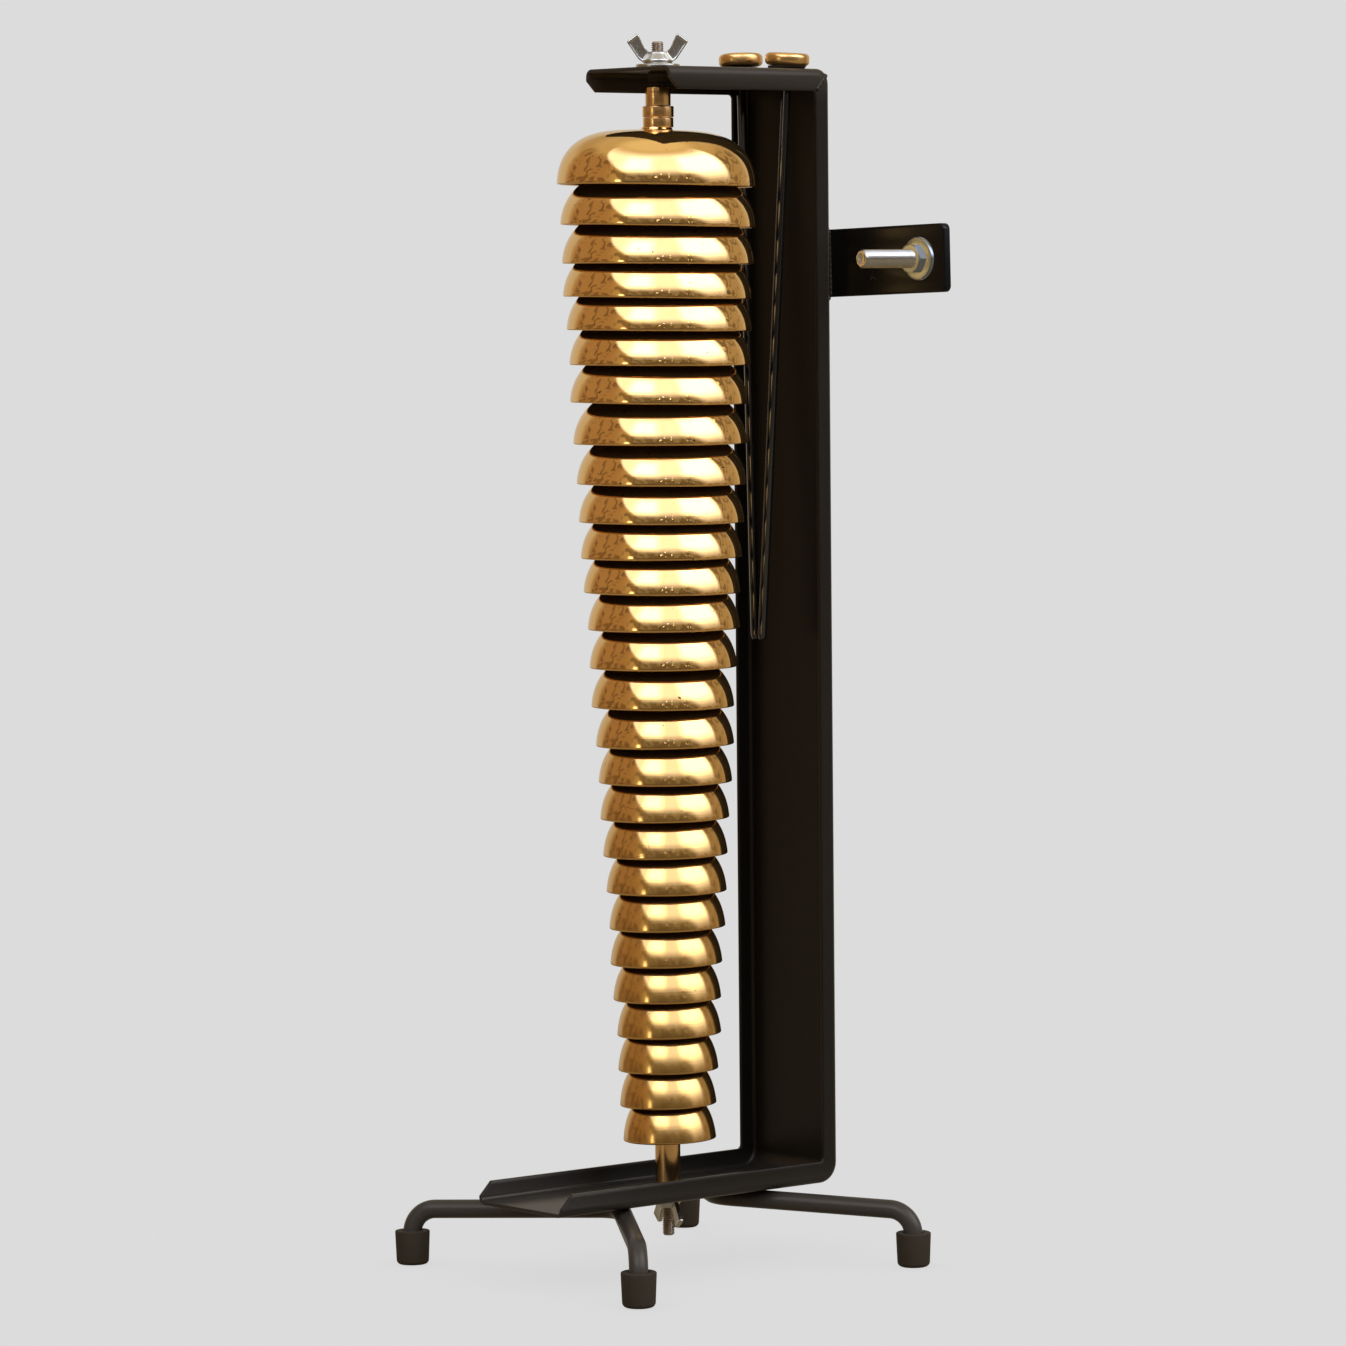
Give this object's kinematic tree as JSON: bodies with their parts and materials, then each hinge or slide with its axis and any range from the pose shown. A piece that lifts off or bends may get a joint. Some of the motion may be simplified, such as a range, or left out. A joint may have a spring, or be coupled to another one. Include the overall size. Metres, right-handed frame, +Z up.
{
  "type": "bell tree",
  "caption": "Table-top bell tree: nested brass cup bells on a vertical threaded spindle, clamped in a folded steel C-frame on rubber-footed rods, with two beaters and a side stud bracket.",
  "frame": {"origin": "centre of the footprint of the whole stand, on the table plane under its rubber feet", "axes": "+Z up along the bell spindle, -Y towards the open front of the C-frame, +X towards the side bracket"},
  "size_m": [0.2736, 0.2554, 0.7901],
  "materials": {
    "polished_brass": "mirror polished, fine handling scratches",
    "black_steel": "satin black powder coat, fine orange peel",
    "zinc_steel": "satin zinc plate",
    "black_rubber": "matt moulded rubber",
    "black_lacquer": "gloss black lacquer"
  },
  "bodies": {
    "frame": {"frame_channel": "black_steel", "front_foot_rod": "black_steel", "rear_foot_rod": "black_steel", "foot_front_right": "black_rubber", "foot_front_left": "black_rubber", "foot_rear_right": "black_rubber", "foot_rear_left": "black_rubber", "spindle_rod": "zinc_steel", "lower_tube": "polished_brass", "upper_tube": "polished_brass", "top_bush": "black_rubber", "top_collar": "polished_brass", "grommet_left": "black_rubber", "grommet_right": "black_rubber", "side_bracket": "black_steel", "stud_bolt": "zinc_steel", "stud_washer": "zinc_steel", "stud_nut": "zinc_steel"},
    "top_washer": {"top_washer": "zinc_steel"},
    "top_wing_nut": {"top_wing_nut": "zinc_steel"},
    "base_washer": {"base_washer": "zinc_steel"},
    "base_wing_nut": {"base_wing_nut": "zinc_steel"},
    "beater_left": {"beater_head_left": "polished_brass", "beater_handle_left": "black_lacquer"},
    "beater_right": {"beater_head_right": "polished_brass", "beater_handle_right": "black_lacquer"},
    "bell_01": {"bell_01": "polished_brass"},
    "bell_02": {"bell_02": "polished_brass"},
    "bell_03": {"bell_03": "polished_brass"},
    "bell_04": {"bell_04": "polished_brass"},
    "bell_05": {"bell_05": "polished_brass"},
    "bell_06": {"bell_06": "polished_brass"},
    "bell_07": {"bell_07": "polished_brass"},
    "bell_08": {"bell_08": "polished_brass"},
    "bell_09": {"bell_09": "polished_brass"},
    "bell_10": {"bell_10": "polished_brass"},
    "bell_11": {"bell_11": "polished_brass"},
    "bell_12": {"bell_12": "polished_brass"},
    "bell_13": {"bell_13": "polished_brass"},
    "bell_14": {"bell_14": "polished_brass"},
    "bell_15": {"bell_15": "polished_brass"},
    "bell_16": {"bell_16": "polished_brass"},
    "bell_17": {"bell_17": "polished_brass"},
    "bell_18": {"bell_18": "polished_brass"},
    "bell_19": {"bell_19": "polished_brass"},
    "bell_20": {"bell_20": "polished_brass"},
    "bell_21": {"bell_21": "polished_brass"},
    "bell_22": {"bell_22": "polished_brass"},
    "bell_23": {"bell_23": "polished_brass"},
    "bell_24": {"bell_24": "polished_brass"},
    "bell_25": {"bell_25": "polished_brass"},
    "bell_26": {"bell_26": "polished_brass"},
    "bell_27": {"bell_27": "polished_brass"}
  },
  "joints": [
    {"name": "top_nut_travel", "type": "slide", "parent": "frame", "child": "top_washer", "axis": [0, 0, 1], "range_m": [0, 0.005]},
    {"name": "top_nut_turn", "type": "hinge", "parent": "top_washer", "child": "top_wing_nut", "pos_m": [-0.01109, 0.00358, 0.771], "axis": [0, 0, 1], "range_deg": [0, 1446]},
    {"name": "base_nut_travel", "type": "slide", "parent": "frame", "child": "base_washer", "axis": [0, 0, -1], "range_m": [0, 0.005]},
    {"name": "base_nut_turn", "type": "hinge", "parent": "base_washer", "child": "base_wing_nut", "pos_m": [-0.01109, 0.00358, 0.044], "axis": [0, 0, -1], "range_deg": [0, 1446]},
    {"name": "beater_left_lift", "type": "slide", "parent": "frame", "child": "beater_left", "axis": [-0.0527, 0.0226, 0.9984], "range_m": [0, 0.38]},
    {"name": "beater_right_lift", "type": "slide", "parent": "frame", "child": "beater_right", "axis": [0.0527, 0.0226, 0.9984], "range_m": [0, 0.38]},
    {"name": "bell_01_spin", "type": "hinge", "parent": "frame", "child": "bell_01", "pos_m": [-0.01109, 0.00358, 0.7146], "axis": [0, 0, 1], "continuous": true},
    {"name": "bell_02_spin", "type": "hinge", "parent": "frame", "child": "bell_02", "pos_m": [-0.01109, 0.00358, 0.6966], "axis": [0, 0, 1], "continuous": true},
    {"name": "bell_03_spin", "type": "hinge", "parent": "frame", "child": "bell_03", "pos_m": [-0.01109, 0.00358, 0.6717], "axis": [0, 0, 1], "continuous": true},
    {"name": "bell_04_spin", "type": "hinge", "parent": "frame", "child": "bell_04", "pos_m": [-0.01109, 0.00358, 0.6488], "axis": [0, 0, 1], "continuous": true},
    {"name": "bell_05_spin", "type": "hinge", "parent": "frame", "child": "bell_05", "pos_m": [-0.01109, 0.00358, 0.6275], "axis": [0, 0, 1], "continuous": true},
    {"name": "bell_06_spin", "type": "hinge", "parent": "frame", "child": "bell_06", "pos_m": [-0.01109, 0.00358, 0.606], "axis": [0, 0, 1], "continuous": true},
    {"name": "bell_07_spin", "type": "hinge", "parent": "frame", "child": "bell_07", "pos_m": [-0.01109, 0.00358, 0.5828], "axis": [0, 0, 1], "continuous": true},
    {"name": "bell_08_spin", "type": "hinge", "parent": "frame", "child": "bell_08", "pos_m": [-0.01109, 0.00358, 0.5575], "axis": [0, 0, 1], "continuous": true},
    {"name": "bell_09_spin", "type": "hinge", "parent": "frame", "child": "bell_09", "pos_m": [-0.01109, 0.00358, 0.5315], "axis": [0, 0, 1], "continuous": true},
    {"name": "bell_10_spin", "type": "hinge", "parent": "frame", "child": "bell_10", "pos_m": [-0.01109, 0.00358, 0.5063], "axis": [0, 0, 1], "continuous": true},
    {"name": "bell_11_spin", "type": "hinge", "parent": "frame", "child": "bell_11", "pos_m": [-0.01109, 0.00358, 0.4827], "axis": [0, 0, 1], "continuous": true},
    {"name": "bell_12_spin", "type": "hinge", "parent": "frame", "child": "bell_12", "pos_m": [-0.01109, 0.00358, 0.4601], "axis": [0, 0, 1], "continuous": true},
    {"name": "bell_13_spin", "type": "hinge", "parent": "frame", "child": "bell_13", "pos_m": [-0.01109, 0.00358, 0.4372], "axis": [0, 0, 1], "continuous": true},
    {"name": "bell_14_spin", "type": "hinge", "parent": "frame", "child": "bell_14", "pos_m": [-0.01109, 0.00358, 0.4131], "axis": [0, 0, 1], "continuous": true},
    {"name": "bell_15_spin", "type": "hinge", "parent": "frame", "child": "bell_15", "pos_m": [-0.01109, 0.00358, 0.3881], "axis": [0, 0, 1], "continuous": true},
    {"name": "bell_16_spin", "type": "hinge", "parent": "frame", "child": "bell_16", "pos_m": [-0.01109, 0.00358, 0.363], "axis": [0, 0, 1], "continuous": true},
    {"name": "bell_17_spin", "type": "hinge", "parent": "frame", "child": "bell_17", "pos_m": [-0.01109, 0.00358, 0.3387], "axis": [0, 0, 1], "continuous": true},
    {"name": "bell_18_spin", "type": "hinge", "parent": "frame", "child": "bell_18", "pos_m": [-0.01109, 0.00358, 0.315], "axis": [0, 0, 1], "continuous": true},
    {"name": "bell_19_spin", "type": "hinge", "parent": "frame", "child": "bell_19", "pos_m": [-0.01109, 0.00358, 0.2914], "axis": [0, 0, 1], "continuous": true},
    {"name": "bell_20_spin", "type": "hinge", "parent": "frame", "child": "bell_20", "pos_m": [-0.01109, 0.00358, 0.2678], "axis": [0, 0, 1], "continuous": true},
    {"name": "bell_21_spin", "type": "hinge", "parent": "frame", "child": "bell_21", "pos_m": [-0.01109, 0.00358, 0.2443], "axis": [0, 0, 1], "continuous": true},
    {"name": "bell_22_spin", "type": "hinge", "parent": "frame", "child": "bell_22", "pos_m": [-0.01109, 0.00358, 0.2209], "axis": [0, 0, 1], "continuous": true},
    {"name": "bell_23_spin", "type": "hinge", "parent": "frame", "child": "bell_23", "pos_m": [-0.01109, 0.00358, 0.1978], "axis": [0, 0, 1], "continuous": true},
    {"name": "bell_24_spin", "type": "hinge", "parent": "frame", "child": "bell_24", "pos_m": [-0.01109, 0.00358, 0.1747], "axis": [0, 0, 1], "continuous": true},
    {"name": "bell_25_spin", "type": "hinge", "parent": "frame", "child": "bell_25", "pos_m": [-0.01109, 0.00358, 0.1518], "axis": [0, 0, 1], "continuous": true},
    {"name": "bell_26_spin", "type": "hinge", "parent": "frame", "child": "bell_26", "pos_m": [-0.01109, 0.00358, 0.129], "axis": [0, 0, 1], "continuous": true},
    {"name": "bell_27_spin", "type": "hinge", "parent": "frame", "child": "bell_27", "pos_m": [-0.01109, 0.00358, 0.1062], "axis": [0, 0, 1], "continuous": true}
  ],
  "couplings": [
    {"joint": "top_nut_turn", "follows": "top_nut_travel", "rad_per_m": 5026.5},
    {"joint": "base_nut_turn", "follows": "base_nut_travel", "rad_per_m": 5026.5}
  ]
}
